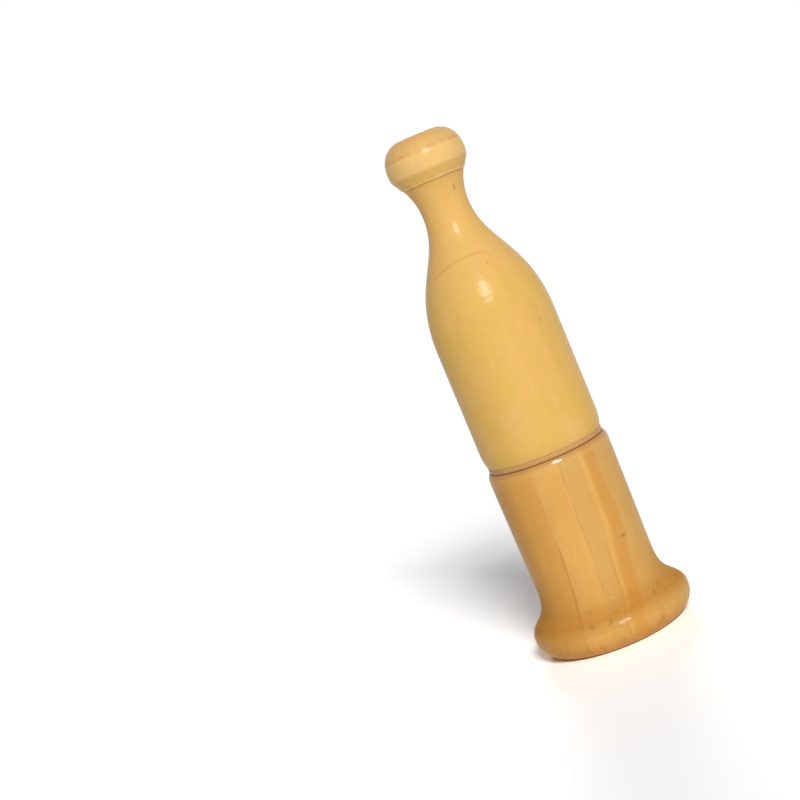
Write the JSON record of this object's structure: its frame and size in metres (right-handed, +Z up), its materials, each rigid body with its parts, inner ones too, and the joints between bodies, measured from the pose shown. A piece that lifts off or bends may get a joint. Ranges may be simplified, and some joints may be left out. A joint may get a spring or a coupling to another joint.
{
  "type": "bird call",
  "caption": "Turned wooden duck call: a knobbed mouthpiece barrel pushed on to the corked tenon of a flared bell, with a brass reed unit inside.",
  "frame": {"origin": "centre of the bell's flat base ring, where the call stands", "axes": "+Z up the call's axis to the mouthpiece, +X along the reed's width, +Y out of the reed's table towards the wedge"},
  "size_m": [0.0461, 0.046, 0.15],
  "materials": {
    "barrel_wood": "pale fine-grained wood, satin varnish",
    "bell_wood": "warm straight-grained wood, satin varnish",
    "washer_leather": "natural leather, cut edge",
    "cork": "sanded cork, greased",
    "block_wood": "bare fine-grained wood",
    "trough_brass": "dull drawn brass",
    "reed_brass": "rolled brass strip",
    "wedge_wood": "bare cedar"
  },
  "bodies": {
    "bell": {"bell": "bell_wood", "tenon_cork": "cork", "reed_block": "block_wood", "reed_trough": "trough_brass", "reed_wedge": "wedge_wood"},
    "washer": {"joint_washer": "washer_leather"},
    "barrel": {"mouthpiece_barrel": "barrel_wood"},
    "reed": {"reed": "reed_brass"}
  },
  "joints": [
    {"name": "barrel_twist", "type": "hinge", "parent": "bell", "child": "washer", "pos_m": [0, 0, 0.0552], "axis": [0, 0, 1], "continuous": true},
    {"name": "barrel_pull", "type": "slide", "parent": "washer", "child": "barrel", "axis": [0, 0, 1], "range_m": [0, 0.05]},
    {"name": "reed_beat", "type": "hinge", "parent": "bell", "child": "reed", "pos_m": [0, 0.00015, 0.0777], "axis": [1, 0, 0], "range_deg": [-2, 2], "stiffness_Nm_per_rad": 0.16, "deforming": ["reed"]}
  ]
}
